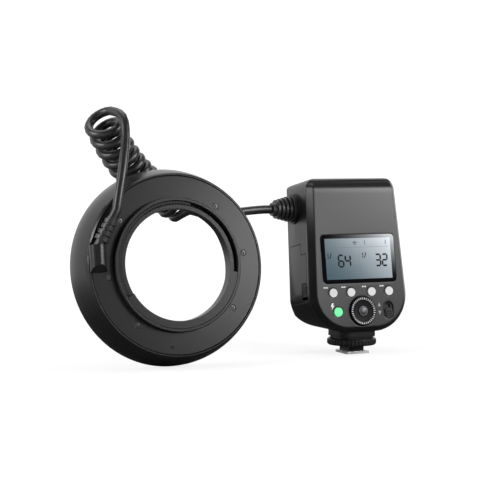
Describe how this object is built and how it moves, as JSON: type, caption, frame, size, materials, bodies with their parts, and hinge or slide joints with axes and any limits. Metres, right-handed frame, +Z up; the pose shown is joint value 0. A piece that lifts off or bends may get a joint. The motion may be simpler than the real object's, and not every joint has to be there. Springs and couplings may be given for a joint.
{
  "type": "macro ring flash",
  "caption": "Ring-shaped flash head that clips round a lens, joined by a curly cord to a shoe-mount controller with a display, dial, buttons and a slide-out battery.",
  "frame": {"origin": "centre of the shoe foot's underside", "axes": "+X to the right of a user facing the display, +Y forwards to the subject, +Z up; the display and the ring's rear face look towards -Y"},
  "size_m": [0.2693, 0.0887, 0.1855],
  "materials": {
    "shell": "satin black",
    "ring_shell": "satin black",
    "trim": "matt black",
    "display": "glossy black with a clear window",
    "display_panel": "grey-blue liquid crystal panel",
    "button_grey": "light grey",
    "button_green": "translucent green",
    "dial_face": "black",
    "metal_plate": "plated",
    "steel": "plain",
    "contact": "gold plated",
    "board": "green laminate",
    "capacitor": "sleeved can",
    "winding": "wound core",
    "rubber": "matt black",
    "cord": "satin black jacket",
    "reflector": "bright",
    "tube_glass": "clear quartz",
    "lamp": "clear lamp",
    "diffuser": "frosted white"
  },
  "bodies": {
    "flash": {"rear_shell": "shell", "front_shell": "shell", "display_lens": "display", "display_module": "display_panel", "keypad_board": "board", "main_board": "board", "flash_capacitor": "capacitor", "charge_transformer": "winding", "battery_bay": "trim", "battery_contacts": "contact", "port_block": "trim", "shell_screws": "steel", "controller_strain_relief": "rubber", "dial_encoder": "trim", "foot_neck": "shell", "foot_base": "trim", "shoe_plate": "metal_plate", "contact_pins": "contact", "ring_housing": "ring_shell", "ring_rear_cover": "ring_shell", "mount_collar": "ring_shell", "clamp_lip": "ring_shell", "reflector": "reflector", "flash_tube_left": "tube_glass", "flash_tube_right": "tube_glass", "focus_lamps": "lamp", "diffuser": "diffuser", "ring_board": "board", "trigger_transformer": "winding", "ring_screws": "steel", "cord_socket": "ring_shell", "ring_strain_relief": "rubber", "controller_lead": "cord", "curly_cord": "cord", "ring_lead": "cord"},
    "lock_wheel": {"lock_wheel": "shell"},
    "lock_pin": {"lock_pin": "steel"},
    "button_1": {"function_button_1": "button_grey"},
    "button_2": {"function_button_2": "button_grey"},
    "button_3": {"function_button_3": "button_grey"},
    "button_4": {"function_button_4": "button_grey"},
    "test_button": {"test_button": "button_green"},
    "dial": {"dial": "dial_face"},
    "set_button": {"set_button": "button_grey"},
    "power_switch": {"power_switch": "trim"},
    "battery": {"battery": "shell"},
    "battery_latch": {"battery_latch": "trim"},
    "port_cover": {"port_cover": "rubber"},
    "adapter_lock_ring": {"adapter_lock_ring": "trim"}
  },
  "joints": [
    {"name": "wheel_turn", "type": "hinge", "parent": "flash", "child": "lock_wheel", "pos_m": [0, 0, 0.009], "axis": [0, 0, 1], "range_deg": [0, 120]},
    {"name": "pin_drop", "type": "slide", "parent": "flash", "child": "lock_pin", "axis": [0, 0, -1], "range_m": [0, 0.0018]},
    {"name": "button_1_press", "type": "slide", "parent": "flash", "child": "button_1", "axis": [0, 0.9863, -0.165], "range_m": [0, 0.0006], "stiffness_N_per_m": 400},
    {"name": "button_2_press", "type": "slide", "parent": "flash", "child": "button_2", "axis": [0, 0.9863, -0.165], "range_m": [0, 0.0006], "stiffness_N_per_m": 400},
    {"name": "button_3_press", "type": "slide", "parent": "flash", "child": "button_3", "axis": [0, 0.9863, -0.165], "range_m": [0, 0.0006], "stiffness_N_per_m": 400},
    {"name": "button_4_press", "type": "slide", "parent": "flash", "child": "button_4", "axis": [0, 0.9863, -0.165], "range_m": [0, 0.0006], "stiffness_N_per_m": 400},
    {"name": "test_press", "type": "slide", "parent": "flash", "child": "test_button", "axis": [0, 0.9863, -0.165], "range_m": [0, 0.0006], "stiffness_N_per_m": 400},
    {"name": "dial_turn", "type": "hinge", "parent": "flash", "child": "dial", "pos_m": [0, -0.0173, 0.03325], "axis": [0, 0.9863, -0.165], "continuous": true},
    {"name": "set_press", "type": "slide", "parent": "flash", "child": "set_button", "axis": [0, 0.9863, -0.165], "range_m": [0, 0.0006], "stiffness_N_per_m": 400},
    {"name": "power_slide", "type": "slide", "parent": "flash", "child": "power_switch", "axis": [0, 0.165, 0.9863], "range_m": [0, 0.0045]},
    {"name": "battery_slide", "type": "slide", "parent": "flash", "child": "battery", "axis": [-1, 0, 0], "range_m": [0, 0.048]},
    {"name": "latch_slide", "type": "slide", "parent": "battery", "child": "battery_latch", "axis": [0, -0.165, -0.9863], "range_m": [0, 0.0025], "stiffness_N_per_m": 400},
    {"name": "cover_swing", "type": "hinge", "parent": "flash", "child": "port_cover", "pos_m": [0.03845, 0.01472, 0.09071], "axis": [-0.0427, 0.1649, 0.9854], "range_deg": [0, 100]},
    {"name": "adapter_lock_turn", "type": "hinge", "parent": "flash", "child": "adapter_lock_ring", "pos_m": [-0.157, -0.0323, 0.07374], "axis": [0, 0.9893, -0.1461], "range_deg": [0, 60]}
  ],
  "couplings": [
    {"joint": "pin_drop", "follows": "wheel_turn", "m_per_rad": 0.000859}
  ]
}
